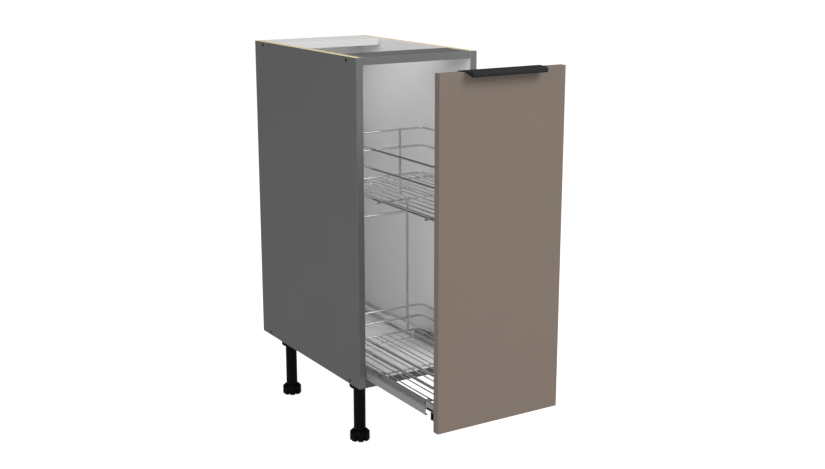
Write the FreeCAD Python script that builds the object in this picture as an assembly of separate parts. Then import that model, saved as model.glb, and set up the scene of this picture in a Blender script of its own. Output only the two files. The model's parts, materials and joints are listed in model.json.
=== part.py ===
# Pull-out base cabinet for a fitted kitchen: a narrow carcass on levelling legs, and a door that
# draws out two wire baskets on telescopic runners. Modelled partly open, in millimetres.
# X runs across the cabinet, Y to the rear, Z up. The origin is on the floor, midway across and
# midway between the handle's lip and the back.
import FreeCAD, Part
import math
import os

V = FreeCAD.Vector
ACROSS = V(1, 0, 0)
REARWARD = V(0, 1, 0)
UP = V(0, 0, 1)

# Carcass boards
CABINET_WIDTH = 300.0
CARCASS_HEIGHT = 720.0
CARCASS_DEPTH = 490.0
BOARD = 16.0
BACK_THICKNESS = 3.0
BACK_MARGIN = 1.0
EDGE_BAND = 1.0
FRONT_STRETCHER_DEPTH = 95.0
FRONT_STRETCHER_SETBACK = 2.0
REAR_STRETCHER_DEPTH = 100.0

# Screws, dowels and nails of the carcass
FIT_GAP = 0.1
CONFIRMAT_LENGTH = 50.0
CONFIRMAT_SHANK = 5.0
CONFIRMAT_HEAD = 9.0
CONFIRMAT_HEAD_HEIGHT = 4.0
CONFIRMAT_FRONT_INSET = 44.0
CONFIRMAT_REAR_INSET = 45.0
DOWEL_DIAMETER = 8.0
DOWEL_LENGTH = 32.0
DOWEL_SEAT = 11.0
DOWEL_SPACING = 32.0
NAIL_SHANK = 1.6
NAIL_LENGTH = 22.0
NAIL_HEAD = 4.0
NAIL_HEAD_HEIGHT = 1.0
NAILS_PER_SIDE = 6
NAILS_PER_END = 3

# Legs
LEG_HEIGHT = 150.0
LEG_SIDE_INSET = 41.0
LEG_FRONT_INSET = 74.0
LEG_REAR_INSET = 72.0
SOCKET_DIAMETER = 45.0
SOCKET_HEIGHT = 24.0
SOCKET_FLOOR = 5.0
SOCKET_CHAMFER = 2.0
TUBE_DIAMETER = 27.0
TUBE_WALL = 2.5
FOOT_DIAMETER = 45.0
FOOT_HEIGHT = 23.0
FOOT_CHAMFER = 5.0
FOOT_NOTCHES = 8
FOOT_NOTCH_WIDTH = 5.0
FOOT_NOTCH_HEIGHT = 12.0
FOOT_NOTCH_DEPTH = 6.0
STEM_LENGTH = 60.0
STEM_GAP = 0.4
LEG_SCREWS = 4
LEG_SCREW_SHANK = 3.5
LEG_SCREW_HEAD = 6.0
LEG_SCREW_HEAD_HEIGHT = 2.5
LEG_SCREW_BITE = 12.0

# Door and edge handle
PULL_OUT = 293.5
DOOR_THICKNESS = 16.0
DOOR_SIDE_GAP = 2.0
DOOR_TOP_GAP = 2.6
DOOR_BOTTOM_GAP = 5.4
DOOR_CLOSED_GAP = 2.5
HANDLE_SHEET = 1.8
HANDLE_REACH = 22.7
HANDLE_LIP = 10.8
HANDLE_LIP_STRAIGHT = 0.8
HANDLE_BACK_FLANGE = 22.0
HANDLE_REAR_LENGTH = 193.0
HANDLE_END_TAPER = 9.6
HANDLE_SCREWS = 3
HANDLE_SCREW_SPACING = 72.0

# Small countersunk screws of the handle, brackets and runners
SCREW_SHANK = 3.5
SCREW_HEAD = 6.4
SCREW_BITE = 12.0

# Telescopic runners
RUNNER_SIDE_GAP = 1.0
RUNNER_FLOOR_GAP = 3.5
RAIL_WIDTH = 25.5
RAIL_SHEET = 1.5
RAIL_LIP = 4.5
MIDDLE_SHEET = 1.2
RAIL_WEB_GAP = 1.2
BALL_GAP = 2.5
BALL_PLAY = 0.05
BALL_INSET = 1.5
BALLS_PER_ROW = 4
CAGE_SHEET = 0.6
CAGE_LENGTH = 180.0
CABINET_RAIL_SHEET = 1.5
CABINET_RAIL_STEM = 3.0
CABINET_RAIL_HEAD = 3.6
CABINET_RAIL_STOP_GAP = 1.0
RAIL_DOOR_GAP = 53.5
RAIL_BACK_GAP = 7.5
RUNNER_SCREWS = 3
RUNNER_SCREW_EDGE = 3.5
RUNNER_SCREW_FRONT_INSET = 48.0
RUNNER_SCREW_REAR_INSET = 80.0

# Wire baskets
RIM_DIAMETER = 5.0
FLOOR_WIRE_DIAMETER = 3.0
CROSS_WIRE_DIAMETER = 4.0
ROD_DIAMETER = 6.0
WELD_GAP = 0.05
BASKET_SIDE_GAP = 9.0
BASKET_DOOR_GAP = 31.0
BASKET_BACK_GAP = 13.5
BASKET_CORNER = 12.0
FLOOR_WIRES_PER_SIDE = 6
FLOOR_WIRE_MIDDLE_GAP = 14.0
FLOOR_WIRE_RIM_GAP = 13.5
CROSS_WIRES = 3
CROSS_WIRE_END_INSET = 37.0
LOWER_MIDDLE_RIM_RISE = 33.5
LOWER_TOP_RIM_RISE = 61.0
UPPER_FLOOR_RISE = 381.0
UPPER_MIDDLE_RIM_RISE = 64.0
UPPER_TOP_RIM_RISE = 105.0
ROD_SIDE_INSET = 35.5
ROD_JOG = 20.0
ROD_JOG_DROP = 44.0
ROD_BEND = 9.0
CROSSBAR_DROP = 90.0
CLIP_WIDTH = 9.0
CLIP_RIM_GAP = 1.5
CLIP_WIRE_GAP = 1.5
CLIP_WALL = 2.0

# Brackets between the door and the runners or baskets
BRACKET_SHEET = 2.0
BRACKET_EDGE_GAP = 2.0
LOWER_BRACKET_ARM = 11.5
LOWER_BRACKET_LIP = 3.0
LOWER_BRACKET_FLANGE_HEIGHT = 62.0
UPPER_BRACKET_HEIGHT = 26.0
UPPER_BRACKET_FLANGE = 30.0
BRACKET_SCREW_INSET = 12.0

# Overrun of cutting tools past the face they open
OVERRUN = 5.0

# Places worked out from the sizes above
HALF_WIDTH = CABINET_WIDTH / 2
INNER_HALF = HALF_WIDTH - BOARD
CARCASS_BOTTOM = LEG_HEIGHT
CARCASS_TOP = CARCASS_BOTTOM + CARCASS_HEIGHT
PANEL_FLOOR = CARCASS_BOTTOM + BOARD
OPEN_LENGTH = CARCASS_DEPTH + PULL_OUT + DOOR_THICKNESS + HANDLE_REACH
BACK_FACE = OPEN_LENGTH / 2
FRONT_FACE = BACK_FACE - CARCASS_DEPTH
PANEL_FRONT = FRONT_FACE + EDGE_BAND
PANEL_REAR = BACK_FACE - BACK_THICKNESS
CONFIRMAT_PLACES = (FRONT_FACE + CONFIRMAT_FRONT_INSET, BACK_FACE - CONFIRMAT_REAR_INSET)
STRETCHER_MIDDLE = CARCASS_TOP - BOARD / 2
BOTTOM_MIDDLE = CARCASS_BOTTOM + BOARD / 2
DOOR_REAR = FRONT_FACE - PULL_OUT
DOOR_FRONT = DOOR_REAR - DOOR_THICKNESS
DOOR_TOP = CARCASS_TOP - DOOR_TOP_GAP
DOOR_BOTTOM = CARCASS_BOTTOM + DOOR_BOTTOM_GAP
DOOR_HALF = HALF_WIDTH - DOOR_SIDE_GAP
HANDLE_BEND = HANDLE_LIP - HANDLE_LIP_STRAIGHT
TRAVEL_TO_CLOSED = PULL_OUT - DOOR_CLOSED_GAP

# Runner sections: distances across from the side panel, and up from the bottom panel
STACK = BALL_GAP + MIDDLE_SHEET + BALL_GAP + RAIL_SHEET
RAIL_HEIGHT = CABINET_RAIL_HEAD + STACK + STACK
RAIL_OUTER = RUNNER_SIDE_GAP
RAIL_INNER = RAIL_OUTER + RAIL_WIDTH
RAIL_CENTRE = (RAIL_OUTER + RAIL_INNER) / 2
RAIL_LOW = RUNNER_FLOOR_GAP
RAIL_HIGH = RAIL_LOW + RAIL_HEIGHT
MIDDLE_INSET = RAIL_SHEET + RAIL_WEB_GAP
MIDDLE_RISE = RAIL_SHEET + BALL_GAP
HEAD_INSET = MIDDLE_INSET + MIDDLE_SHEET + RAIL_WEB_GAP
HEAD_RISE = MIDDLE_RISE + MIDDLE_SHEET + BALL_GAP
RAIL_FRONT = DOOR_REAR + RAIL_DOOR_GAP
RAIL_REAR = PANEL_REAR - RAIL_BACK_GAP - TRAVEL_TO_CLOSED
RAIL_TOP = PANEL_FLOOR + RAIL_HIGH
CABINET_RAIL_FRONT = RAIL_FRONT + TRAVEL_TO_CLOSED + CABINET_RAIL_STOP_GAP
CABINET_RAIL_REAR = RAIL_REAR + TRAVEL_TO_CLOSED

# Basket places: wire centre lines
BASKET_HALF = INNER_HALF - BASKET_SIDE_GAP - RIM_DIAMETER / 2
OUTER_FLOOR_WIRE = BASKET_HALF - FLOOR_WIRE_RIM_GAP
FLOOR_WIRE_PITCH = (OUTER_FLOOR_WIRE - FLOOR_WIRE_MIDDLE_GAP / 2) / (FLOOR_WIRES_PER_SIDE - 1)
BASKET_FRONT = DOOR_REAR + BASKET_DOOR_GAP + RIM_DIAMETER / 2
BASKET_REAR = PANEL_REAR - TRAVEL_TO_CLOSED - BASKET_BACK_GAP - RIM_DIAMETER / 2
LOWER_FLOOR = RAIL_TOP + CROSS_WIRE_DIAMETER + RIM_DIAMETER / 2
UPPER_FLOOR = LOWER_FLOOR + UPPER_FLOOR_RISE
UPPER_TOP = UPPER_FLOOR + UPPER_TOP_RIM_RISE
ROD_OFFSET = RIM_DIAMETER / 2 + ROD_DIAMETER / 2 + WELD_GAP
ROD_HALF = BASKET_HALF - ROD_SIDE_INSET
UPPER_ROD_HALF = ROD_HALF - ROD_JOG
CROSS_WIRE_PLACES = [
    BASKET_FRONT + CROSS_WIRE_END_INSET
    + i * (BASKET_REAR - BASKET_FRONT - 2 * CROSS_WIRE_END_INSET) / (CROSS_WIRES - 1)
    for i in range(CROSS_WIRES)
]


def box(low, high):
    """Block between two opposite corners."""
    size = high - low
    return Part.makeBox(size.x, size.y, size.z, low)


def pin(start, end, diameter):
    """Round bar between two points."""
    run = end - start
    return Part.makeCylinder(diameter / 2, run.Length, start, run)


def joined(shapes):
    """One solid from shapes that touch or overlap."""
    return shapes[0].multiFuse(shapes[1:]).removeSplitter().Solids[0]


def cut_all(shape, tools):
    """Solid with every tool taken out of it."""
    return shape.cut(Part.makeCompound(tools)).removeSplitter().Solids[0]


def headed_pin(start, direction, length, shank, head, head_height):
    """Screw or nail with a flat cylindrical head that starts at the given point."""
    top = pin(start, start + direction * head_height, head)
    return joined([top, pin(start, start + direction * length, shank)])


def countersunk(start, direction, length, shank, head):
    """Screw with a cone head, flush at the given point."""
    cone = Part.makeCone(head / 2, shank / 2, (head - shank) / 2, start, direction)
    return joined([cone, pin(start, start + direction * length, shank)])


def disc(centre, normal, diameter):
    """Flat round face."""
    return Part.Face(Part.Wire(Part.makeCircle(diameter / 2, centre, normal)))


def bent_rod(corners, diameter, bend, closed=False):
    """Round wire through the given corners, each turned with the same bend radius."""
    count = len(corners)
    pieces = []
    starts = {}
    ends = {}
    for i in range(count):
        if not closed and i in (0, count - 1):
            starts[i] = ends[i] = corners[i]
            continue
        here = corners[i]
        arriving = (here - corners[i - 1]).normalize()
        leaving = (corners[(i + 1) % count] - here).normalize()
        turn = arriving.getAngle(leaving)
        setback = bend * math.tan(turn / 2)
        ends[i] = here - arriving * setback
        starts[i] = here + leaving * setback
        axis = arriving.cross(leaving).normalize()
        centre = ends[i] + axis.cross(arriving) * bend
        pieces.append(disc(ends[i], arriving, diameter).revolve(centre, axis, math.degrees(turn)))
    for i in range(count if closed else count - 1):
        pieces.append(pin(starts[i], ends[(i + 1) % count], diameter))
    return joined(pieces)


def mirrored(shape):
    """The same piece on the other side of the cabinet."""
    return shape.mirror(V(0, 0, 0), ACROSS)


def both_sides(shapes):
    """Left pieces and their mirror images."""
    return shapes + [mirrored(shape) for shape in shapes]


def joint_screws(spare):
    """Confirmat screws of the left side, with the given room round them."""
    screws = []
    for place in CONFIRMAT_PLACES:
        for height in (BOTTOM_MIDDLE, STRETCHER_MIDDLE):
            screws.append(headed_pin(V(-HALF_WIDTH, place, height), ACROSS, CONFIRMAT_LENGTH,
                                     CONFIRMAT_SHANK + spare, CONFIRMAT_HEAD + spare,
                                     CONFIRMAT_HEAD_HEIGHT))
    return screws


def joint_dowels(spare):
    """Wooden dowels of the left side, beside the screws."""
    dowels = []
    start = -INNER_HALF - DOWEL_SEAT
    front, rear = CONFIRMAT_PLACES
    for place in (front + DOWEL_SPACING, rear - DOWEL_SPACING):
        for height in (BOTTOM_MIDDLE, STRETCHER_MIDDLE):
            dowels.append(pin(V(start, place, height), V(start + DOWEL_LENGTH, place, height),
                              DOWEL_DIAMETER + spare))
    return dowels


def back_nails(spare):
    """Nails through the back panel into the sides, the bottom panel and the rear stretcher."""
    side = HALF_WIDTH - BOARD / 2
    low = CARCASS_BOTTOM + BOARD / 2
    high = CARCASS_TOP - BOARD / 2
    places = []
    for i in range(NAILS_PER_SIDE):
        height = low + BOARD + i * (high - low - 2 * BOARD) / (NAILS_PER_SIDE - 1)
        places += [(-side, height), (side, height)]
    for i in range(NAILS_PER_END):
        across = (i + 1) * CABINET_WIDTH / (NAILS_PER_END + 1) - HALF_WIDTH
        places += [(across, low), (across, high)]
    return [headed_pin(V(x, BACK_FACE, z), -REARWARD, NAIL_LENGTH, NAIL_SHANK + spare,
                       NAIL_HEAD + spare, NAIL_HEAD_HEIGHT) for x, z in places]


LEG_PLACES = {
    "front_left": V(LEG_SIDE_INSET - HALF_WIDTH, FRONT_FACE + LEG_FRONT_INSET, 0),
    "front_right": V(HALF_WIDTH - LEG_SIDE_INSET, FRONT_FACE + LEG_FRONT_INSET, 0),
    "rear_left": V(LEG_SIDE_INSET - HALF_WIDTH, BACK_FACE - LEG_REAR_INSET, 0),
    "rear_right": V(HALF_WIDTH - LEG_SIDE_INSET, BACK_FACE - LEG_REAR_INSET, 0),
}


def leg_screw_places(place, height):
    """Centres of one socket's screws, midway between its tube and its rim."""
    radius = (TUBE_DIAMETER + SOCKET_DIAMETER) / 4
    angles = [2 * math.pi * (i + 1 / 2) / LEG_SCREWS for i in range(LEG_SCREWS)]
    return [place + V(radius * math.cos(angle), radius * math.sin(angle), height) for angle in angles]


def leg_screws(place, spare):
    """Screws from one leg socket up into the bottom panel."""
    start = CARCASS_BOTTOM - SOCKET_FLOOR - LEG_SCREW_HEAD_HEIGHT
    length = LEG_SCREW_HEAD_HEIGHT + SOCKET_FLOOR + LEG_SCREW_BITE
    return [headed_pin(centre, UP, length, LEG_SCREW_SHANK + spare, LEG_SCREW_HEAD + spare,
                       LEG_SCREW_HEAD_HEIGHT) for centre in leg_screw_places(place, start)]


def leg_socket(place):
    """Round plastic socket under the bottom panel, open below for the tube and the screwdriver."""
    low = CARCASS_BOTTOM - SOCKET_HEIGHT
    straight = SOCKET_HEIGHT - SOCKET_CHAMFER
    radius = SOCKET_DIAMETER / 2
    base = place + V(0, 0, low)
    depth = UP * (SOCKET_HEIGHT - SOCKET_FLOOR)
    body = joined([Part.makeCone(radius - SOCKET_CHAMFER, radius, SOCKET_CHAMFER, base),
                   Part.makeCylinder(radius, straight, base + V(0, 0, SOCKET_CHAMFER))])
    tools = leg_screws(place, FIT_GAP)
    tools.append(pin(base, base + depth, TUBE_DIAMETER + FIT_GAP))
    for centre in leg_screw_places(place, low):
        tools.append(pin(centre, centre + depth, LEG_SCREW_HEAD + FIT_GAP))
    return cut_all(body, tools)


def leg_tube(place):
    """Hollow leg tube from the socket down to the foot."""
    low = place + V(0, 0, FOOT_HEIGHT)
    high = place + V(0, 0, CARCASS_BOTTOM - SOCKET_FLOOR)
    return pin(low, high, TUBE_DIAMETER).cut(pin(low, high, TUBE_DIAMETER - 2 * TUBE_WALL))


def levelling_foot(place):
    """Foot with a notched grip rim and the threaded stem that screws into the tube."""
    radius = FOOT_DIAMETER / 2
    straight = FOOT_HEIGHT - FOOT_CHAMFER
    body = Part.makeCylinder(radius, straight, place)
    shoulder = Part.makeCone(radius, radius - FOOT_CHAMFER, FOOT_CHAMFER, place + V(0, 0, straight))
    body = body.fuse(shoulder)
    notch = box(V(radius - FOOT_NOTCH_DEPTH, -FOOT_NOTCH_WIDTH / 2, -OVERRUN),
                V(radius + OVERRUN, FOOT_NOTCH_WIDTH / 2, FOOT_NOTCH_HEIGHT))
    notches = []
    for i in range(FOOT_NOTCHES):
        turned = notch.copy()
        turned.rotate(V(0, 0, 0), UP, i * 360 / FOOT_NOTCHES)
        turned.translate(place)
        notches.append(turned)
    stem_base = place + V(0, 0, straight)
    stem = pin(stem_base, stem_base + V(0, 0, FOOT_CHAMFER + STEM_LENGTH),
               TUBE_DIAMETER - 2 * TUBE_WALL - 2 * STEM_GAP)
    return joined([cut_all(body, notches), stem])


def carcass_nodes():
    """Boards, bands and fixings of the carcass."""
    screws = joint_screws(0)
    dowels = joint_dowels(0)
    screw_holes = both_sides(joint_screws(FIT_GAP))
    dowel_holes = both_sides(joint_dowels(FIT_GAP))
    nail_holes = back_nails(FIT_GAP)
    holes = screw_holes + dowel_holes + nail_holes
    for place in LEG_PLACES.values():
        holes += leg_screws(place, FIT_GAP)
    holes += both_sides(runner_screws(FIT_GAP))
    left = box(V(-HALF_WIDTH, PANEL_FRONT, CARCASS_BOTTOM), V(-INNER_HALF, PANEL_REAR, CARCASS_TOP))
    left = cut_all(left, holes)
    bottom = box(V(-INNER_HALF, PANEL_FRONT, CARCASS_BOTTOM), V(INNER_HALF, PANEL_REAR, PANEL_FLOOR))
    under_top = CARCASS_TOP - BOARD
    band_front = FRONT_FACE + FRONT_STRETCHER_SETBACK
    stretcher_front = PANEL_FRONT + FRONT_STRETCHER_SETBACK
    front = box(V(-INNER_HALF, stretcher_front, under_top),
                V(INNER_HALF, FRONT_FACE + FRONT_STRETCHER_DEPTH, CARCASS_TOP))
    rear = box(V(-INNER_HALF, PANEL_REAR - REAR_STRETCHER_DEPTH, under_top),
               V(INNER_HALF, PANEL_REAR, CARCASS_TOP))
    back_half = HALF_WIDTH - BACK_MARGIN
    back = box(V(-back_half, PANEL_REAR, CARCASS_BOTTOM + BACK_MARGIN),
               V(back_half, BACK_FACE, CARCASS_TOP - BACK_MARGIN))
    side_band = box(V(-HALF_WIDTH, FRONT_FACE, CARCASS_BOTTOM), V(-INNER_HALF, PANEL_FRONT, CARCASS_TOP))
    bottom_band = box(V(-INNER_HALF, FRONT_FACE, CARCASS_BOTTOM), V(INNER_HALF, PANEL_FRONT, PANEL_FLOOR))
    top_band = box(V(-INNER_HALF, band_front, under_top), V(INNER_HALF, stretcher_front, CARCASS_TOP))
    return {
        "left_side_panel": [left],
        "right_side_panel": [mirrored(left)],
        "bottom_panel": [cut_all(bottom, holes)],
        "front_stretcher": [cut_all(front, holes)],
        "rear_stretcher": [cut_all(rear, holes)],
        "back_panel": [cut_all(back, nail_holes)],
        "side_edge_bands": both_sides([side_band]),
        "bottom_edge_band": [bottom_band],
        "stretcher_edge_band": [top_band],
        "confirmat_screws": both_sides(screws),
        "wood_dowels": both_sides(dowels),
        "back_panel_nails": back_nails(0),
    }


def leg_nodes():
    """Sockets, tubes and feet of the four legs."""
    nodes = {"leg_screws": []}
    for corner, place in LEG_PLACES.items():
        nodes["leg_socket_" + corner] = [leg_socket(place)]
        nodes["leg_tube_" + corner] = [leg_tube(place)]
        nodes["levelling_foot_" + corner] = [levelling_foot(place)]
        nodes["leg_screws"] += leg_screws(place, 0)
    return nodes


def rail_point(across, along, up):
    """Point of the left runner, from the side panel's inner face and the bottom panel's top."""
    return V(across - INNER_HALF, along, PANEL_FLOOR + up)


def channel(inset, rise, sheet, front, rear):
    """Folded rail, open below between two lips, set inside the pull-out rail's outline."""
    outer, inner = RAIL_OUTER + inset, RAIL_INNER - inset
    low, high = RAIL_LOW + rise, RAIL_HIGH - rise
    shape = box(rail_point(outer, front, low), rail_point(inner, rear, high))
    room = box(rail_point(outer + sheet, front, low + sheet),
               rail_point(inner - sheet, rear, high - sheet))
    slot = box(rail_point(outer + sheet + RAIL_LIP, front, low),
               rail_point(inner - sheet - RAIL_LIP, rear, low + sheet))
    return cut_all(shape, [room, slot])


def ball_cage(sheet_inset, sheet_rise, ball_inset, middle):
    """Thin cage between two rails, with its four rows of balls."""
    front, rear = middle - CAGE_LENGTH / 2, middle + CAGE_LENGTH / 2
    inset = sheet_inset + (RAIL_WEB_GAP - CAGE_SHEET) / 2
    rise = sheet_rise + (BALL_GAP - CAGE_SHEET) / 2
    cage = channel(inset, rise, CAGE_SHEET, front, rear)
    ball = BALL_GAP - 2 * BALL_PLAY
    low, high = RAIL_LOW + sheet_rise + BALL_GAP / 2, RAIL_HIGH - sheet_rise - BALL_GAP / 2
    balls = []
    holes = []
    for i in range(BALLS_PER_ROW):
        along = front + (i + 1 / 2) * CAGE_LENGTH / BALLS_PER_ROW
        for across in (RAIL_OUTER + ball_inset, RAIL_INNER - ball_inset):
            for up in (low, high):
                centre = rail_point(across, along, up)
                balls.append(Part.makeSphere(ball / 2, centre))
                holes.append(pin(centre - UP * (BALL_GAP / 2), centre + UP * (BALL_GAP / 2),
                                 ball + 2 * FIT_GAP))
    return [cut_all(cage, holes)] + balls


def runner_screws(spare):
    """Countersunk screws from the cabinet rail's base into the bottom panel, left runner."""
    front = CABINET_RAIL_FRONT + RUNNER_SCREW_FRONT_INSET
    rear = CABINET_RAIL_REAR - RUNNER_SCREW_REAR_INSET
    screws = []
    for i in range(RUNNER_SCREWS):
        along = front + i * (rear - front) / (RUNNER_SCREWS - 1)
        for across in (RAIL_OUTER + RUNNER_SCREW_EDGE, RAIL_INNER - RUNNER_SCREW_EDGE):
            screws.append(countersunk(rail_point(across, along, CABINET_RAIL_SHEET), -UP, SCREW_BITE,
                                      SCREW_SHANK + spare, SCREW_HEAD + spare))
    return screws


def cabinet_rail():
    """Fixed rail: base plate on the bottom panel, stem, and the head that the balls run on."""
    front, rear = CABINET_RAIL_FRONT, CABINET_RAIL_REAR
    half_stem = CABINET_RAIL_STEM / 2
    head_low = RAIL_LOW + HEAD_RISE
    base = box(rail_point(RAIL_OUTER, front, 0), rail_point(RAIL_INNER, rear, CABINET_RAIL_SHEET))
    stem = box(rail_point(RAIL_CENTRE - half_stem, front, CABINET_RAIL_SHEET),
               rail_point(RAIL_CENTRE + half_stem, rear, head_low))
    head = box(rail_point(RAIL_OUTER + HEAD_INSET, front, head_low),
               rail_point(RAIL_INNER - HEAD_INSET, rear, head_low + CABINET_RAIL_HEAD))
    return cut_all(joined([base, stem, head]), runner_screws(FIT_GAP))


def runner_nodes():
    """Rails and ball cages of both runners, at the rest pull-out."""
    travel = TRAVEL_TO_CLOSED
    middle_shift = travel / 2
    rail_middle = (RAIL_FRONT + RAIL_REAR) / 2
    pull_rail = channel(0, 0, RAIL_SHEET, RAIL_FRONT, RAIL_REAR)
    middle_rail = channel(MIDDLE_INSET, MIDDLE_RISE, MIDDLE_SHEET,
                          RAIL_FRONT + middle_shift, RAIL_REAR + middle_shift)
    outer_cage = ball_cage(RAIL_SHEET, RAIL_SHEET, MIDDLE_INSET + BALL_INSET,
                           rail_middle + middle_shift / 2)
    inner_cage = ball_cage(MIDDLE_INSET + MIDDLE_SHEET, MIDDLE_RISE + MIDDLE_SHEET,
                           HEAD_INSET + BALL_INSET, rail_middle + middle_shift + middle_shift / 2)
    fixed_rail = cabinet_rail()
    left = {"cabinet_rail": [fixed_rail], "middle_rail": [middle_rail], "pull_out_rail": [pull_rail],
            "inner_ball_cage": inner_cage, "outer_ball_cage": outer_cage}
    nodes = {"runner_screws": both_sides(runner_screws(0))}
    for name, shapes in left.items():
        nodes["left_" + name] = shapes
        nodes["right_" + name] = [mirrored(shape) for shape in shapes]
    return nodes


def handle_screws(spare):
    """Countersunk screws through the handle's back flange into the door."""
    height = DOOR_TOP - HANDLE_BACK_FLANGE / 2
    start = DOOR_REAR + HANDLE_SHEET
    return [countersunk(V((i - (HANDLE_SCREWS - 1) / 2) * HANDLE_SCREW_SPACING, start, height), -REARWARD,
                        SCREW_BITE, SCREW_SHANK + spare, SCREW_HEAD + spare) for i in range(HANDLE_SCREWS)]


def edge_handle():
    """Folded pull over the door's top edge: back flange, top plate and rounded front lip."""
    half = HANDLE_REAR_LENGTH / 2
    rear, front = DOOR_REAR + HANDLE_SHEET, DOOR_FRONT - HANDLE_REACH
    top = DOOR_TOP + HANDLE_SHEET
    low = DOOR_TOP - HANDLE_BACK_FLANGE
    plate = box(V(-half, front, low), V(half, rear, top))
    lip_low = top - HANDLE_LIP
    under_plate = box(V(-half, front + HANDLE_SHEET, low), V(half, DOOR_REAR, DOOR_TOP))
    under_lip = box(V(-half, front, low), V(half, front + HANDLE_SHEET, lip_low))
    shape = cut_all(plate, [under_plate, under_lip])
    bend = [edge for edge in shape.Edges
            if abs(edge.BoundBox.YMin - front) + abs(edge.BoundBox.YMax - front) < FIT_GAP
            and abs(edge.BoundBox.ZMin - top) + abs(edge.BoundBox.ZMax - top) < FIT_GAP]
    shape = shape.makeFillet(HANDLE_BEND, bend)
    inner = [edge for edge in shape.Edges
             if abs(edge.BoundBox.YMin - front - HANDLE_SHEET) < FIT_GAP
             and abs(edge.BoundBox.YMax - front - HANDLE_SHEET) < FIT_GAP
             and abs(edge.BoundBox.ZMin - DOOR_TOP) + abs(edge.BoundBox.ZMax - DOOR_TOP) < FIT_GAP]
    shape = shape.makeFillet(HANDLE_BEND - HANDLE_SHEET, inner)
    outside = half + OVERRUN
    wedge = Part.Face(Part.makePolygon([
        V(half, rear, low - OVERRUN), V(half - HANDLE_END_TAPER, front, low - OVERRUN),
        V(outside, front, low - OVERRUN), V(outside, rear, low - OVERRUN), V(half, rear, low - OVERRUN)]))
    wedge = wedge.extrude(UP * (top - low + 2 * OVERRUN))
    return cut_all(shape, both_sides([wedge]) + handle_screws(FIT_GAP))


def lower_bracket_screws(spare):
    """Screws of the left lower bracket's flange into the door."""
    across = -INNER_HALF + RAIL_CENTRE
    low = RAIL_TOP + LOWER_BRACKET_ARM + BRACKET_SCREW_INSET
    high = RAIL_TOP + LOWER_BRACKET_FLANGE_HEIGHT - BRACKET_SCREW_INSET
    return [countersunk(V(across, DOOR_REAR + BRACKET_SHEET, height), -REARWARD, SCREW_BITE,
                        SCREW_SHANK + spare, SCREW_HEAD + spare) for height in (low, high)]


def lower_bracket():
    """Bracket from the front edge of the left pull-out rail's top to the door."""
    outer = -INNER_HALF + RAIL_OUTER + BRACKET_EDGE_GAP
    inner = -INNER_HALF + RAIL_INNER - BRACKET_EDGE_GAP
    flange = box(V(outer, DOOR_REAR, RAIL_TOP),
                 V(inner, DOOR_REAR + BRACKET_SHEET, RAIL_TOP + LOWER_BRACKET_FLANGE_HEIGHT))
    shelf = box(V(outer, DOOR_REAR, RAIL_TOP), V(inner, RAIL_FRONT, RAIL_TOP + BRACKET_SHEET))
    arm = box(V(outer, DOOR_REAR, RAIL_TOP),
              V(outer + BRACKET_SHEET, RAIL_FRONT, RAIL_TOP + LOWER_BRACKET_ARM))
    lip = box(V(outer, RAIL_FRONT - BRACKET_SHEET, RAIL_TOP - LOWER_BRACKET_LIP),
              V(inner, RAIL_FRONT, RAIL_TOP))
    return cut_all(joined([flange, shelf, arm, lip]), lower_bracket_screws(FIT_GAP))


def upper_bracket_screws(spare):
    """Screws of the left upper bracket's flange into the door."""
    inner = -UPPER_ROD_HALF - ROD_DIAMETER / 2 - WELD_GAP
    across = inner - UPPER_BRACKET_FLANGE + BRACKET_SCREW_INSET
    middle = UPPER_TOP - RIM_DIAMETER - UPPER_BRACKET_HEIGHT / 2
    return [countersunk(V(across, DOOR_REAR + BRACKET_SHEET, middle), -REARWARD, SCREW_BITE,
                        SCREW_SHANK + spare, SCREW_HEAD + spare)]


def upper_bracket():
    """Bracket from the left front rod, under the upper rim, to the door."""
    inner = -UPPER_ROD_HALF - ROD_DIAMETER / 2 - WELD_GAP
    high = UPPER_TOP - RIM_DIAMETER
    low = high - UPPER_BRACKET_HEIGHT
    rod = BASKET_FRONT - ROD_OFFSET
    arm = box(V(inner - BRACKET_SHEET, DOOR_REAR, low), V(inner, rod, high))
    flange = box(V(inner - UPPER_BRACKET_FLANGE, DOOR_REAR, low),
                 V(inner, DOOR_REAR + BRACKET_SHEET, high))
    return cut_all(joined([arm, flange]), upper_bracket_screws(FIT_GAP))


def door_nodes():
    """Door, handle, and the brackets that carry the door."""
    screws = handle_screws(0)
    bracket_screws = both_sides(lower_bracket_screws(0) + upper_bracket_screws(0))
    bracket_holes = both_sides(lower_bracket_screws(FIT_GAP) + upper_bracket_screws(FIT_GAP))
    holes = handle_screws(FIT_GAP) + bracket_holes
    door = box(V(-DOOR_HALF, DOOR_FRONT, DOOR_BOTTOM), V(DOOR_HALF, DOOR_REAR, DOOR_TOP))
    return {
        "door_panel": [cut_all(door, holes)],
        "edge_handle": [edge_handle()],
        "handle_screws": screws,
        "left_lower_bracket": [lower_bracket()],
        "right_lower_bracket": [mirrored(lower_bracket())],
        "left_upper_bracket": [upper_bracket()],
        "right_upper_bracket": [mirrored(upper_bracket())],
        "bracket_screws": bracket_screws,
    }


def rim(height):
    """Closed wire loop round a basket at one height."""
    corners = [V(-BASKET_HALF, BASKET_FRONT, height), V(BASKET_HALF, BASKET_FRONT, height),
               V(BASKET_HALF, BASKET_REAR, height), V(-BASKET_HALF, BASKET_REAR, height)]
    return bent_rod(corners, RIM_DIAMETER, BASKET_CORNER, closed=True)


def cross_wires(floor):
    """Wires across the basket, under its floor frame."""
    height = floor - RIM_DIAMETER / 2 - CROSS_WIRE_DIAMETER / 2
    half = BASKET_HALF + RIM_DIAMETER / 2
    return [pin(V(-half, place, height), V(half, place, height), CROSS_WIRE_DIAMETER - 2 * WELD_GAP)
            for place in CROSS_WIRE_PLACES]


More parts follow.
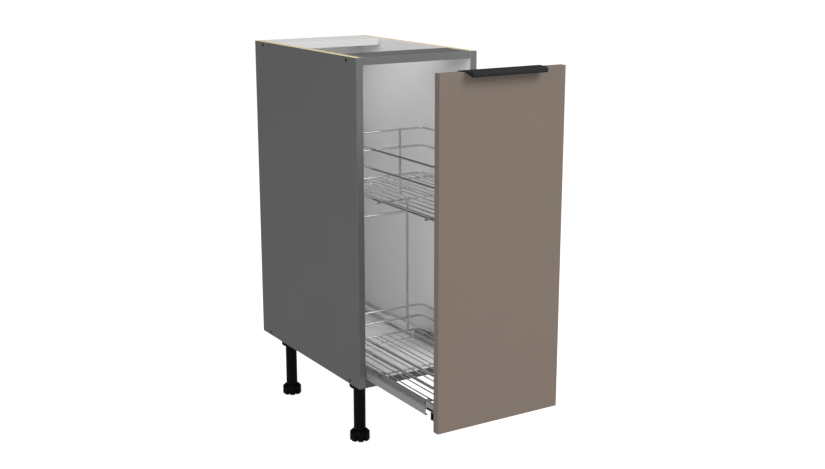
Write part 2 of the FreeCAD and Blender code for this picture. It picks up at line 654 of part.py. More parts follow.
def floor_wires(floor):
    """Thin wires from front to rear, lying on the cross wires inside the floor frame."""
    height = floor - RIM_DIAMETER / 2 + FLOOR_WIRE_DIAMETER / 2
    front = BASKET_FRONT + RIM_DIAMETER / 2 + WELD_GAP
    rear = BASKET_REAR - RIM_DIAMETER / 2 - WELD_GAP
    wires = []
    for i in range(FLOOR_WIRES_PER_SIDE):
        across = i * FLOOR_WIRE_PITCH - OUTER_FLOOR_WIRE
        bow = max(0, BASKET_CORNER - (BASKET_HALF - abs(across)))
        trim = BASKET_CORNER - math.sqrt(BASKET_CORNER ** 2 - bow ** 2)
        wires.append(pin(V(across, front + trim, height), V(across, rear - trim, height),
                         FLOOR_WIRE_DIAMETER))
    return both_sides(wires)


def rod(place):
    """Left upright rod at one end of the baskets, with the jog below the upper basket."""
    lower, upper = -ROD_HALF, -UPPER_ROD_HALF
    jog_top = UPPER_FLOOR - ROD_JOG_DROP
    corners = [V(lower, place, LOWER_FLOOR - RIM_DIAMETER / 2), V(lower, place, jog_top - ROD_JOG),
               V(upper, place, jog_top), V(upper, place, UPPER_TOP + RIM_DIAMETER / 2)]
    return bent_rod(corners, ROD_DIAMETER, ROD_BEND)


def rail_clips():
    """Saddle clips on the left pull-out rail that hold the lower basket's cross wires."""
    start = RIM_DIAMETER / 2 + CLIP_RIM_GAP - BASKET_HALF
    end = -OUTER_FLOOR_WIRE - FLOOR_WIRE_DIAMETER / 2 - CLIP_WIRE_GAP
    half_wire = CROSS_WIRE_DIAMETER / 2
    clips = []
    for place in CROSS_WIRE_PLACES:
        block = box(V(start, place - CLIP_WIDTH / 2, RAIL_TOP),
                    V(end, place + CLIP_WIDTH / 2, RAIL_TOP + CROSS_WIRE_DIAMETER + CLIP_WALL))
        wire_height = RAIL_TOP + half_wire
        seat = pin(V(start, place, wire_height), V(end, place, wire_height), CROSS_WIRE_DIAMETER)
        mouth = box(V(start, place - half_wire, RAIL_TOP), V(end, place + half_wire, wire_height))
        clips.append(cut_all(block, [seat, mouth]))
    return clips


def basket_nodes():
    """Both baskets and the rods between them."""
    front_place, rear_place = BASKET_FRONT - ROD_OFFSET, BASKET_REAR + ROD_OFFSET
    crossbar = UPPER_FLOOR - CROSSBAR_DROP
    reach = ROD_HALF - ROD_DIAMETER / 2 - WELD_GAP
    bars = [pin(V(-reach, place, crossbar), V(reach, place, crossbar), ROD_DIAMETER)
            for place in (front_place, rear_place)]
    nodes = {"frame_crossbars": bars}
    for end, place in (("front", front_place), ("rear", rear_place)):
        nodes[end + "_left_rod"] = [rod(place)]
        nodes[end + "_right_rod"] = [mirrored(rod(place))]
    levels = (("lower", LOWER_FLOOR, LOWER_MIDDLE_RIM_RISE, LOWER_TOP_RIM_RISE),
              ("upper", UPPER_FLOOR, UPPER_MIDDLE_RIM_RISE, UPPER_TOP_RIM_RISE))
    for level, floor, middle_rise, top_rise in levels:
        nodes[level + "_top_rim"] = [rim(floor + top_rise)]
        nodes[level + "_middle_rim"] = [rim(floor + middle_rise)]
        nodes[level + "_floor_frame"] = [rim(floor)]
        nodes[level + "_floor_wires"] = floor_wires(floor)
        nodes[level + "_cross_wires"] = cross_wires(floor)
    return nodes


def main():
    """Build every node and write it to its own file."""
    nodes = {}
    for group in (carcass_nodes(), leg_nodes(), runner_nodes(), door_nodes(), basket_nodes()):
        nodes.update(group)
    nodes["rail_clips"] = both_sides(rail_clips())
    os.makedirs("parts", exist_ok=True)
    for name, shapes in nodes.items():
        shape = shapes[0] if len(shapes) == 1 else Part.makeCompound(shapes)
        shape.exportStep("parts/" + name + ".step")
        print(name, "solids", len(shape.Solids), "valid", shape.isValid(), "volume", round(shape.Volume))
    print(len(nodes), "nodes")


main()
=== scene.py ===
# %% [markdown]
# # A pull-out base cabinet
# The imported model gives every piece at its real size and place, in metres. This lesson dresses it:
# each piece is modelled again, with softened edges, smooth wires and real screw heads, and gets a
# finish that is worked out from nodes. The frame is loaded first, because every size comes from it.

# %% Load the frame
import json
import math

import bmesh
import bpy
from mathutils import Matrix, Vector


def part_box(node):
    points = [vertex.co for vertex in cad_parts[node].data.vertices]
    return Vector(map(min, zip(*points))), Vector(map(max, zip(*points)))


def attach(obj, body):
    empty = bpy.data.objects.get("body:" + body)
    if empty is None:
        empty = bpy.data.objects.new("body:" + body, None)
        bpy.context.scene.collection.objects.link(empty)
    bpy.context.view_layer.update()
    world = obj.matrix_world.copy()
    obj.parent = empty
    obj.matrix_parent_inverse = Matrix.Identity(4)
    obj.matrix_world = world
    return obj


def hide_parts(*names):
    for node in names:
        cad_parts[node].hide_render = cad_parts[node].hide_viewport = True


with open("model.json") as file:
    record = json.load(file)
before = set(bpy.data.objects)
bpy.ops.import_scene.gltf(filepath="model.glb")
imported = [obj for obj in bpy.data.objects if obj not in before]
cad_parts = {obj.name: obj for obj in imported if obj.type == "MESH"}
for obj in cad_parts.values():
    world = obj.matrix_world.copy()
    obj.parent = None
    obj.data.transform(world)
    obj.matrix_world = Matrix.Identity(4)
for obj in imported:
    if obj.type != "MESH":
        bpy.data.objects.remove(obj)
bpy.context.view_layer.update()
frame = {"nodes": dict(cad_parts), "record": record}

MM = 0.001
SIDES = ("left", "right")

# %% [markdown]
# ## The camera
# The photograph looks at the left front corner, a little from above. The camera stands where a fit to
# the corners of the carcass and the door puts it. It tilts down instead of shifting its lens, so that
# the object also stays in the middle of every other view.

# %% Camera
CAMERA_PLACE = Vector((-1.3972, -2.3053, 1.1264))
CAMERA_LEVEL = 90
CAMERA_TILT = 13.83
CAMERA_TURN = 31.85
CAMERA_LENS = 54.18

camera_data = bpy.data.cameras.new("camera")
camera_data.lens = CAMERA_LENS
camera = bpy.data.objects.new("camera", camera_data)
camera.location = CAMERA_PLACE
camera.rotation_euler = (math.radians(CAMERA_LEVEL - CAMERA_TILT), 0, math.radians(-CAMERA_TURN))
bpy.context.collection.objects.link(camera)
bpy.context.scene.camera = camera
print("camera", camera_data.lens, "mm at", tuple(camera.location))

# %% [markdown]
# ## A tent of light
# A product picture like this one is lit in a pale tent, and the world takes the place of the tent. The
# camera sees it plain white. Mirror-like wires should not reflect white on white, so in reflections the
# tent is bright only towards the front right and above, and dark elsewhere, as black cards beside the
# object would make it. The Light Path node tells which kind of ray asks, so one world gives each answer.

# %% Tent
TENT_SEEN = 1.0
TENT_LIGHT = 0.40
TENT_MIRROR_DARK = 0.07
TENT_MIRROR_BRIGHT = 0.65
TENT_BRIGHT_WAY = (0.35, -0.85, 0.40)
TENT_DARK_UNTIL = 0.1
TENT_BRIGHT_FROM = 0.9
WHITE = (1, 1, 1, 1)

bpy.context.scene.view_settings.view_transform = "Standard"


def build_tent():
    """World that is white to the camera, softer as a light and darker as a mirror image."""
    world = bpy.data.worlds.new("tent")
    bpy.context.scene.world = world
    world.use_nodes = True
    tree = world.node_tree
    background = tree.nodes["Background"]
    background.inputs["Color"].default_value = WHITE
    path = tree.nodes.new("ShaderNodeLightPath")
    way = tree.nodes.new("ShaderNodeTexCoord")
    toward = tree.nodes.new("ShaderNodeVectorMath")
    toward.operation = "DOT_PRODUCT"
    toward.inputs[1].default_value = TENT_BRIGHT_WAY
    mirror = tree.nodes.new("ShaderNodeMapRange")
    mirror.inputs["From Min"].default_value = TENT_DARK_UNTIL
    mirror.inputs["From Max"].default_value = TENT_BRIGHT_FROM
    mirror.inputs["To Min"].default_value = TENT_MIRROR_DARK
    mirror.inputs["To Max"].default_value = TENT_MIRROR_BRIGHT
    glossy = tree.nodes.new("ShaderNodeMix")
    glossy.inputs["A"].default_value = TENT_LIGHT
    seen = tree.nodes.new("ShaderNodeMix")
    seen.inputs["B"].default_value = TENT_SEEN
    tree.links.new(way.outputs["Generated"], toward.inputs[0])
    tree.links.new(toward.outputs["Value"], mirror.inputs["Value"])
    tree.links.new(mirror.outputs["Result"], glossy.inputs["B"])
    tree.links.new(path.outputs["Is Glossy Ray"], glossy.inputs["Factor"])
    tree.links.new(path.outputs["Is Camera Ray"], seen.inputs["Factor"])
    tree.links.new(glossy.outputs["Result"], seen.inputs["A"])
    tree.links.new(seen.outputs["Result"], background.inputs["Strength"])


build_tent()
print("tent", bpy.context.scene.world.name)

# %% [markdown]
# ## The floor
# The photographed floor is so pale that only a faint shadow is left on it. A white floor would have to be
# lit until the cabinet is too bright, so this one is grey and adds a glow of its own. The glow has one
# strength for the camera, one for the light that it throws up and one for its image in the chrome.

# %% Floor
FLOOR_SIZE = 60.0
FLOOR_COLOUR = (0.30, 0.30, 0.30, 1)
FLOOR_ROUGHNESS = 0.9
FLOOR_GLOW = {"Is Camera Ray": 0.92, "Is Diffuse Ray": 0.80, "Is Glossy Ray": 0.24}


def floor_material():
    """Dull grey that glows with a strength for each kind of ray."""
    material = bpy.data.materials.new("pale_floor")
    material.use_nodes = True
    tree = material.node_tree
    shader = tree.nodes["Principled BSDF"]
    shader.inputs["Base Color"].default_value = FLOOR_COLOUR
    shader.inputs["Roughness"].default_value = FLOOR_ROUGHNESS
    shader.inputs["Specular IOR Level"].default_value = 0.0
    shader.inputs["Emission Color"].default_value = WHITE
    path = tree.nodes.new("ShaderNodeLightPath")
    total = None
    for ray, strength in FLOOR_GLOW.items():
        glow = tree.nodes.new("ShaderNodeMath")
        glow.operation = "MULTIPLY_ADD"
        glow.inputs[1].default_value = strength
        glow.inputs[2].default_value = 0.0
        tree.links.new(path.outputs[ray], glow.inputs[0])
        if total:
            tree.links.new(total, glow.inputs[2])
        total = glow.outputs["Value"]
    tree.links.new(total, shader.inputs["Emission Strength"])
    return material


def build_floor():
    """Wide floor under the feet."""
    bm = bmesh.new()
    bmesh.ops.create_grid(bm, x_segments=1, y_segments=1, size=FLOOR_SIZE / 2)
    mesh = bpy.data.meshes.new("floor")
    bm.to_mesh(mesh)
    bm.free()
    mesh.materials.append(floor_material())
    floor = bpy.data.objects.new("floor", mesh)
    bpy.context.collection.objects.link(floor)


build_floor()
print("floor", FLOOR_SIZE, "m wide")

# %% [markdown]
# ## Lamps
# Soft lamps add to the tent: a strong one from the front right, one from above and a weak one from the
# left. The strong lamp is made of two in the same place, and the larger part is left out of reflections,
# because its whole image would burn white lines into the chrome.

# %% Lamps
AIM = Vector((0, 0, 0.45))
KEY_PLACE = Vector((1.6, -4.2, 4.2))
KEY_SIZE = 3.0
KEY_POWER = 273.0
KEY_MIRRORED_SHARE = 0.35
TOP_PLACE = Vector((0.2, 0.3, 4.2))
TOP_SIZE = 2.4
TOP_POWER = 52.0
FILL_PLACE = Vector((-2.6, -1.5, 2.1))
FILL_SIZE = 1.8
FILL_POWER = 30.0


def build_lamp(name, place, size, power, mirrored=True):
    """Square soft lamp that faces the middle of the object, seen in reflections or not."""
    lamp = bpy.data.lights.new(name, "AREA")
    lamp.size = size
    lamp.energy = power
    stand = bpy.data.objects.new(name, lamp)
    stand.location = place
    stand.rotation_euler = (AIM - place).to_track_quat("-Z", "Y").to_euler()
    stand.visible_glossy = mirrored
    bpy.context.collection.objects.link(stand)
    print(name, round(power, 1), "W")


build_lamp("key_lamp", KEY_PLACE, KEY_SIZE, KEY_POWER * KEY_MIRRORED_SHARE)
build_lamp("key_lamp_veiled", KEY_PLACE, KEY_SIZE, KEY_POWER * (1 - KEY_MIRRORED_SHARE), mirrored=False)
build_lamp("top_lamp", TOP_PLACE, TOP_SIZE, TOP_POWER)
build_lamp("fill_lamp", FILL_PLACE, FILL_SIZE, FILL_POWER)

# %% [markdown]
# ## Grain and clouds
# Coated boards, lacquer, powder coat and moulded plastic all show the same thing close up: a fine grain
# in the relief and a faint cloudiness in the colour. One node group makes both from noise, so that all
# these finishes can share it. The noise is laid on Object coordinates, which are real metres here, so no
# mesh has to be unwrapped.

# %% Grain group
GRAIN_SCALE = 900.0
GRAIN_DETAIL = 3.0
CLOUD_SCALE = 9.0
CLOUD_DETAIL = 2.0


def start_group(name, inputs, outputs):
    """Empty shader group with named sockets, its input node, its output node and Object coordinates."""
    group = bpy.data.node_groups.new(name, "ShaderNodeTree")
    for label, kind, value in inputs:
        socket = group.interface.new_socket(name=label, in_out="INPUT", socket_type=kind)
        socket.default_value = value
    for label in outputs:
        group.interface.new_socket(name=label, in_out="OUTPUT", socket_type="NodeSocketFloat")
    entry = group.nodes.new("NodeGroupInput")
    end = group.nodes.new("NodeGroupOutput")
    place = group.nodes.new("ShaderNodeTexCoord")
    return group, entry, end, place


def build_grain_group():
    """Fine grain for relief and gloss, and slow clouds for colour."""
    kind = "NodeSocketFloat"
    scales = [("Grain Scale", kind, GRAIN_SCALE), ("Cloud Scale", kind, CLOUD_SCALE)]
    group, entry, end, place = start_group("fine_grain", scales, ["Grain", "Cloud"])
    for label, detail in (("Grain", GRAIN_DETAIL), ("Cloud", CLOUD_DETAIL)):
        noise = group.nodes.new("ShaderNodeTexNoise")
        noise.inputs["Detail"].default_value = detail
        group.links.new(place.outputs["Object"], noise.inputs["Vector"])
        group.links.new(entry.outputs[label + " Scale"], noise.inputs["Scale"])
        group.links.new(noise.outputs["Fac"], end.inputs[label])
    return group


GRAIN = build_grain_group()
print("node group", GRAIN.name)

# %% [markdown]
# ## Helpers for finishes
# A finish is a material with one node group in it. Small helpers lead what the group gives to the shader:
# as a tone between two colours, as a value between two limits, or as a bump.

# %% Helpers for finishes
FINISH = {}
USUAL_NOISE_LOW = 0.25
USUAL_NOISE_HIGH = 0.75


def start_finish(name, group, label, value):
    """New material with its shader and one placed node group, one of whose sockets is set."""
    material = bpy.data.materials.new(name)
    material.use_nodes = True
    tree = material.node_tree
    pattern = tree.nodes.new("ShaderNodeGroup")
    pattern.node_tree = group
    pattern.inputs[label].default_value = value
    FINISH[name] = material
    return tree, tree.nodes["Principled BSDF"], pattern


def mix_colour(tree, factor, low, high, target):
    """Colour between two tones, by a factor."""
    mix = tree.nodes.new("ShaderNodeMix")
    mix.data_type = "RGBA"
    mix.inputs["A"].default_value = (*low, 1)
    mix.inputs["B"].default_value = (*high, 1)
    tree.links.new(factor, mix.inputs["Factor"])
    tree.links.new(mix.outputs["Result"], target)


def spread(tree, factor, low, high, target):
    """Value between two limits, by a noise that mostly stays in its usual range."""
    span = tree.nodes.new("ShaderNodeMapRange")
    span.inputs["From Min"].default_value = USUAL_NOISE_LOW
    span.inputs["From Max"].default_value = USUAL_NOISE_HIGH
    span.inputs["To Min"].default_value = low
    span.inputs["To Max"].default_value = high
    tree.links.new(factor, span.inputs["Value"])
    tree.links.new(span.outputs["Result"], target)


def relief(tree, height, depth, strength, target):
    """Bump of a given depth in metres."""
    bump = tree.nodes.new("ShaderNodeBump")
    bump.inputs["Distance"].default_value = depth
    bump.inputs["Strength"].default_value = strength
    tree.links.new(height, bump.inputs["Height"])
    tree.links.new(bump.outputs["Normal"], target)


def shades(colour, share):
    """A colour a little darker and a little lighter."""
    return [tuple(c * (1 - share) for c in colour), tuple(c * (1 + share) for c in colour)]


print("finishes so far:", len(FINISH))

# %% [markdown]
# ## Coated and moulded finishes
# Each of these finishes mixes a darker and a lighter tone of its colour by the clouds, and takes a narrow
# range of roughness and a shallow bump from the grain. A picture of the surface could do the same, but
# nodes stay sharp at any distance. What is the same all over a surface, such as how much it shines, is
# set on the shader's own socket. The boards of the carcass and their bands come first.

# %% Finishes of the boards
PLAIN_SHINE = 0.5
GRAIN_RELIEF = 0.6


def coated(name, colour, roughness, clouds, grain, depth, shine=PLAIN_SHINE):
    """Coated, lacquered or moulded surface: clouds in the colour, grain in the gloss and the relief."""
    tree, shader, pattern = start_finish(name, GRAIN, "Grain Scale", grain)
    low, high = shades(colour, clouds)
    mix_colour(tree, pattern.outputs["Cloud"], low, high, shader.inputs["Base Color"])
    spread(tree, pattern.outputs["Grain"], *roughness, shader.inputs["Roughness"])
    relief(tree, pattern.outputs["Grain"], depth, GRAIN_RELIEF, shader.inputs["Normal"])
    shader.inputs["Specular IOR Level"].default_value = shine


INNER_MELAMINE = dict(roughness=(0.36, 0.50), clouds=0.02, grain=1400, depth=0.03 * MM)
BAND = dict(roughness=(0.30, 0.46), clouds=0.04, grain=700, depth=0.03 * MM)
coated("grey_melamine", (0.102, 0.106, 0.104), roughness=(0.46, 0.60), clouds=0.04, grain=1400,
       depth=0.04 * MM, shine=0.3)
coated("white_melamine", (0.87, 0.87, 0.868), **INNER_MELAMINE)
# the inner white melamine again, made darker: painted shade that dims the lit top of the rear stretcher
coated("pale_melamine", (0.615, 0.615, 0.61), **INNER_MELAMINE)
coated("edge_band", (0.130, 0.132, 0.131), **BAND)
# the same band in a darker grey: painted shadow for the bottom band
coated("painted_shadow_band", (0.068, 0.069, 0.068), **BAND)
print("finishes", *FINISH)

# %% [markdown]
# The door has a matt brown lacquer, and its handle a black powder coat with the finest grain of all. The
# legs, clips and ball cages are plain mouldings, the inner rails are coated white, and the dowels are
# beech. All of them are the same kind of surface, so each is one call with other values.

# %% Finishes of the door and the fittings
coated("door_lacquer", (0.156, 0.1225, 0.0998), roughness=(0.42, 0.56), clouds=0.02, grain=520,
       depth=0.03 * MM, shine=0.35)
coated("black_coat", (0.0195, 0.0195, 0.0198), roughness=(0.42, 0.58), clouds=0.08, grain=2600,
       depth=0.05 * MM, shine=0.06)
coated("black_plastic", (0.0025, 0.0025, 0.0026), roughness=(0.40, 0.56), clouds=0.15, grain=1700,
       depth=0.05 * MM, shine=0.09)
coated("clip_plastic", (0.22, 0.22, 0.222), roughness=(0.38, 0.52), clouds=0.08, grain=1700,
       depth=0.04 * MM)
coated("cage_plastic", (0.62, 0.61, 0.57), roughness=(0.36, 0.50), clouds=0.04, grain=1200,
       depth=0.03 * MM)
coated("white_coat", (0.80, 0.80, 0.795), roughness=(0.34, 0.46), clouds=0.03, grain=1800,
       depth=0.03 * MM)
coated("beech", (0.52, 0.36, 0.20), roughness=(0.55, 0.75), clouds=0.18, grain=700, depth=0.08 * MM)
print(len(FINISH), "finishes so far")

# %% [markdown]
# ## Raw board edges
# Chipboard is pressed from small chips, and where it carries no band they show as flecks of straw yellow
# with small gaps. Voronoi cells are such flecks: the cell's colour gives the tone of a chip, and the
# distance to the next cell gives the gap. The rear of the thin back panel is hardboard, with finer chips.

# %% Raw board edges
CHIP_SCALE = 420.0
CHIP_RELIEF = 0.8
CHIP_ROUGHNESS = 0.85
CHIP_SHINE = 0.2


def build_chip_group():
    """Pressed chips: cells with a tone each and gaps between them."""
    group, entry, end, place = start_group(
        "pressed_chips", [("Chip Scale", "NodeSocketFloat", CHIP_SCALE)], ["Tone", "Gap"])
    cells = group.nodes.new("ShaderNodeTexVoronoi")
    edges = group.nodes.new("ShaderNodeTexVoronoi")
    edges.feature = "DISTANCE_TO_EDGE"
    for cell in (cells, edges):
        group.links.new(place.outputs["Object"], cell.inputs["Vector"])
        group.links.new(entry.outputs["Chip Scale"], cell.inputs["Scale"])
    tone = group.nodes.new("ShaderNodeSeparateColor")
    group.links.new(cells.outputs["Color"], tone.inputs["Color"])
    group.links.new(tone.outputs["Red"], end.inputs["Tone"])
    group.links.new(edges.outputs["Distance"], end.inputs["Gap"])
    return group


def chipped(name, dark, light, scale, depth):
    """Raw edge or face of a pressed board."""
    tree, shader, pattern = start_finish(name, CHIPS, "Chip Scale", scale)
    mix_colour(tree, pattern.outputs["Tone"], dark, light, shader.inputs["Base Color"])
    relief(tree, pattern.outputs["Gap"], depth, CHIP_RELIEF, shader.inputs["Normal"])
    shader.inputs["Roughness"].default_value = CHIP_ROUGHNESS
    shader.inputs["Specular IOR Level"].default_value = CHIP_SHINE


CHIPS = build_chip_group()
chipped("raw_board", dark=(0.40, 0.32, 0.17), light=(0.64, 0.56, 0.36), scale=CHIP_SCALE, depth=0.25 * MM)
chipped("hardboard", dark=(0.22, 0.13, 0.07), light=(0.30, 0.19, 0.11), scale=700, depth=0.06 * MM)
print("node group", CHIPS.name, "and", len(FINISH), "finishes so far")

# %% [markdown]
# ## Metals
# Rolling and drawing leave fine lines on steel, along the way that it went through the rolls. Noise that
# is stretched by a scale for each axis makes such lines: a small scale along the lines and a large one
# across them. The chrome is polished, so its lines are alike in every direction and hardly deep at all.

# %% Metals
LINE_SCALE = 1.0
LINE_DETAIL = 4.0
LINE_RELIEF = 0.5
BLOTCH_SCALE = 60.0
BLOTCH_SHARE = 0.12


def build_line_group():
    """Long fine lines for gloss and relief, and blotches for colour."""
    group, entry, end, place = start_group(
        "drawn_lines", [("Stretch", "NodeSocketVector", (1.0, 1.0, 1.0))], ["Line", "Blotch"])
    stretch = group.nodes.new("ShaderNodeVectorMath")
    stretch.operation = "MULTIPLY"
    group.links.new(place.outputs["Object"], stretch.inputs[0])
    group.links.new(entry.outputs["Stretch"], stretch.inputs[1])
    line = group.nodes.new("ShaderNodeTexNoise")
    line.inputs["Scale"].default_value = LINE_SCALE
    line.inputs["Detail"].default_value = LINE_DETAIL
    group.links.new(stretch.outputs["Vector"], line.inputs["Vector"])
    group.links.new(line.outputs["Fac"], end.inputs["Line"])
    blotch = group.nodes.new("ShaderNodeTexNoise")
    blotch.inputs["Scale"].default_value = BLOTCH_SCALE
    group.links.new(place.outputs["Object"], blotch.inputs["Vector"])
    group.links.new(blotch.outputs["Fac"], end.inputs["Blotch"])
    return group


def drawn(name, colour, roughness, stretch, depth, metallic):
    """Rolled or drawn metal: lines in the gloss and the relief, blotches in the colour."""
    tree, shader, pattern = start_finish(name, LINES, "Stretch", stretch)
    low, high = shades(colour, BLOTCH_SHARE)
    mix_colour(tree, pattern.outputs["Blotch"], low, high, shader.inputs["Base Color"])
    spread(tree, pattern.outputs["Line"], *roughness, shader.inputs["Roughness"])
    relief(tree, pattern.outputs["Line"], depth, LINE_RELIEF, shader.inputs["Normal"])
    shader.inputs["Metallic"].default_value = metallic


LINES = build_line_group()
drawn("black_screw", (0.03, 0.03, 0.03), roughness=(0.35, 0.55), stretch=(300, 900, 900),
      depth=0.03 * MM, metallic=0.6)
drawn("rail_grey", (0.30, 0.30, 0.30), roughness=(0.36, 0.52), stretch=(1500, 14, 1500),
      depth=0.02 * MM, metallic=0.35)
drawn("zinc", (0.58, 0.59, 0.60), roughness=(0.24, 0.40), stretch=(1200, 20, 1200),
      depth=0.02 * MM, metallic=1.0)
drawn("chrome", (0.60, 0.60, 0.61), roughness=(0.06, 0.13), stretch=(700, 700, 700),
      depth=0.004 * MM, metallic=1.0)
print("node group", LINES.name, "and", len(FINISH), "finishes in all")

# %% [markdown]
# ## From a imported solid to a piece
# Every piece is built in a bmesh. Where the imported solid already has the right shape, its copy is taken:
# the triangles are merged, flat faces are joined again, and the sharp edges are rounded. A finished piece
# keeps its place in its mesh and rides on the same body as the solid that it stands for.

# %% Helpers for pieces
BODY_OF = {node: body for body, nodes in frame["record"]["behaviour"]["bodies"].items() for node in nodes}
MERGE = 0.001 * MM
FLAT_TURN = math.radians(0.5)
SMOOTH_TURN = math.radians(35)
SHARP_TURN = math.radians(40)
EDGE_SEGMENTS = 2
CIRCLE_PROFILE = 0.5
FINISH_OF_NEIGHBOUR = -1


def solid_copy(node):
    """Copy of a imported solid, with its loose triangles merged and its flat faces joined."""
    bm = bmesh.new()
    bm.from_mesh(frame["nodes"][node].data)
    bmesh.ops.remove_doubles(bm, verts=bm.verts, dist=MERGE)
    bmesh.ops.dissolve_limit(bm, angle_limit=FLAT_TURN, verts=bm.verts, edges=bm.edges)
    return bm


def sharp_edges(bm, shortest=0.0):
    """Edges past a length where two faces meet at a clear angle."""
    return [e for e in bm.edges if len(e.link_faces) == 2 and e.calc_length() > shortest
            and e.calc_face_angle() > SHARP_TURN]


def round_edges(bm, edges, width, segments=EDGE_SEGMENTS):
    """Bevel with a round profile."""
    bmesh.ops.bevel(bm, geom=edges, offset=width, offset_type="OFFSET", affect="EDGES", segments=segments,
                    profile=CIRCLE_PROFILE, material=FINISH_OF_NEIGHBOUR, clamp_overlap=True)


def finished(bm, name, finishes, node):
    """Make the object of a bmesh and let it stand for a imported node."""
    bmesh.ops.recalc_face_normals(bm, faces=bm.faces)
    mesh = bpy.data.meshes.new(name)
    bm.to_mesh(mesh)
    bm.free()
    for finish in finishes:
        mesh.materials.append(FINISH[finish])
    mesh.shade_smooth()
    mesh.set_sharp_from_angle(angle=SMOOTH_TURN)
    piece = bpy.data.objects.new(name, mesh)
    bpy.context.collection.objects.link(piece)
    even = piece.modifiers.new("even_normals", "WEIGHTED_NORMAL")
    even.keep_sharp = True
    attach(piece, BODY_OF[node])
    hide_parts(node)
    print(name, "faces", len(mesh.polygons))


# %% [markdown]
# ## Boards of the carcass
# The carcass is made of coated chipboard: grey outside, white inside, with the raw edge left open at the
# top, the bottom and the rear. New blocks would lose the drilled holes, so each board is a copy of its
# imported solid. The faces are sorted by where they look, and the long edges are softened by less than a
# millimetre. Edges under a band stay sharp, because the band meets them flush.

# %% Boards
BOARD_SOFTENING = 0.4 * MM
LONG_EDGE = 12 * MM


def board(node, name, finish_for, banded=True):
    """Coated board whose faces take a finish by the direction that they look in."""
    bm = solid_copy(node)
    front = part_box(node)[0].y
    names = sorted(set(finish_for.values()))
    for face in bm.faces:
        axis = max(range(3), key=lambda i: abs(face.normal[i]))
        way = "+-"[face.normal[axis] < 0] + "XYZ"[axis]
        face.material_index = names.index(finish_for.get(way, finish_for["rest"]))
    soft = [e for e in sharp_edges(bm, LONG_EDGE)
            if not banded or max(v.co.y for v in e.verts) > front + MERGE]
    round_edges(bm, soft, BOARD_SOFTENING)
    finished(bm, name, names, node)


for side, outside, inside in (("left", "-X", "+X"), ("right", "+X", "-X")):
    board(side + "_side_panel", side + "_side_board",
          {outside: "grey_melamine", inside: "white_melamine", "rest": "raw_board"})
board("bottom_panel", "bottom_board",
      {"+Z": "white_melamine", "-Z": "grey_melamine", "rest": "raw_board"})
board("front_stretcher", "front_stretcher_board",
      {"+Z": "grey_melamine", "-Z": "grey_melamine", "+Y": "edge_band", "rest": "raw_board"})
# the rear stretcher takes the darker copy of the white melamine: painted shade on its lit faces
board("rear_stretcher", "rear_stretcher_board",
      {"+Z": "pale_melamine", "-Z": "pale_melamine", "-Y": "pale_melamine", "rest": "raw_board"},
      banded=False)
board("back_panel", "back_board", {"-Y": "white_melamine", "rest": "hardboard"}, banded=False)

# %% [markdown]
# ## Loose solids
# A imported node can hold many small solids, such as all the screws of one kind. Edges join the vertices of
# one solid and never those of two, so a walk along the edges from any vertex finds its solid. The box of
# each solid tells where to put its new piece, and how large it is.


# %% Loose solids
def islands(bm):
    """Vertices of every loose solid in a bmesh."""
    found = []
    seen = set()
    for seed in bm.verts:
        if seed in seen:
            continue
        seen.add(seed)
        reached = [seed]
        for vert in reached:
            fresh = [v for v in (e.other_vert(vert) for e in vert.link_edges) if v not in seen]
            seen.update(fresh)
            reached.extend(fresh)
        found.append(reached)
    return found


def loose_boxes(node):
    """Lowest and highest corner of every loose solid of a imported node."""
    bm = solid_copy(node)
    boxes = []
    for island in islands(bm):
        low = Vector([min(v.co[i] for v in island) for i in range(3)])
        high = Vector([max(v.co[i] for v in island) for i in range(3)])
        boxes.append((low, high))
    bm.free()
    return sorted(boxes, key=lambda pair: tuple(pair[0]))


print("side_edge_bands holds", len(loose_boxes("side_edge_bands")), "solids")

# %% [markdown]
# ## Edge bands
# The front edges carry a thin glued band. Its front edges are scraped round after gluing, so they get a
# bevel that is nearly half as wide as the band is thick, and its rear edges meet the board sharply. A
# band is a plain block, so a scaled cube is enough, one for each loose solid of the imported node. The
# bottom band is the same band in a darker grey: painted shadow of the door and the baskets over it.

# %% Edge bands
BAND_SOFTENING = 0.45 * MM
BLOCK_SEGMENTS = 3


def absorb(bm, part):
    """Add a small bmesh to a larger one."""
    mesh = bpy.data.meshes.new("part")
    part.to_mesh(mesh)
    part.free()
    bm.from_mesh(mesh)
    bpy.data.meshes.remove(mesh)


def add_block(bm, low, high, width, front_only=False):
    """Block between two corners, with rounded edges all over or only round its front face."""
    part = bmesh.new()
    bmesh.ops.create_cube(part, size=1)
    bmesh.ops.scale(part, vec=high - low, verts=part.verts)
    bmesh.ops.translate(part, vec=(low + high) / 2, verts=part.verts)
    edges = [e for e in part.edges if not front_only or max(v.co.y for v in e.verts) < high.y - MERGE]
    round_edges(part, edges, width, BLOCK_SEGMENTS)
    absorb(bm, part)


def edge_bands(node, name, finish):
    """All bands of a node."""
    bm = bmesh.new()
    for low, high in loose_boxes(node):
        add_block(bm, low, high, BAND_SOFTENING, front_only=True)
    finished(bm, name, [finish], node)


edge_bands("side_edge_bands", "side_bands", "edge_band")
# the bottom band takes the darker copy: painted shadow
edge_bands("bottom_edge_band", "bottom_band", "painted_shadow_band")
edge_bands("stretcher_edge_band", "stretcher_band", "edge_band")

# %% [markdown]
# ## Rings and threads
# Round pieces grow ring by ring: the edges of a ring are extruded, and the new ring is moved and scaled.
# A thread is a thin triangle that is spun and lifted at the same time. The spin operator does both, so
# no modifier is needed. The triangle's foot lies just under the skin of the core.

# %% Rings and threads
THREAD_FOOT_SHARE = 0.97


def only(kind, geometry):
    """Elements of one kind in what an operator gives back."""
    return [g for g in geometry if isinstance(g, kind)]


def extrude_ring(part, ring):
    """New ring on top of an old one: its vertices and its edges."""
    grown = bmesh.ops.extrude_edge_only(part, edges=ring)["geom"]
    fresh = only(bmesh.types.BMVert, grown)
    return fresh, [e for e in only(bmesh.types.BMEdge, grown) if all(v in fresh for v in e.verts)]


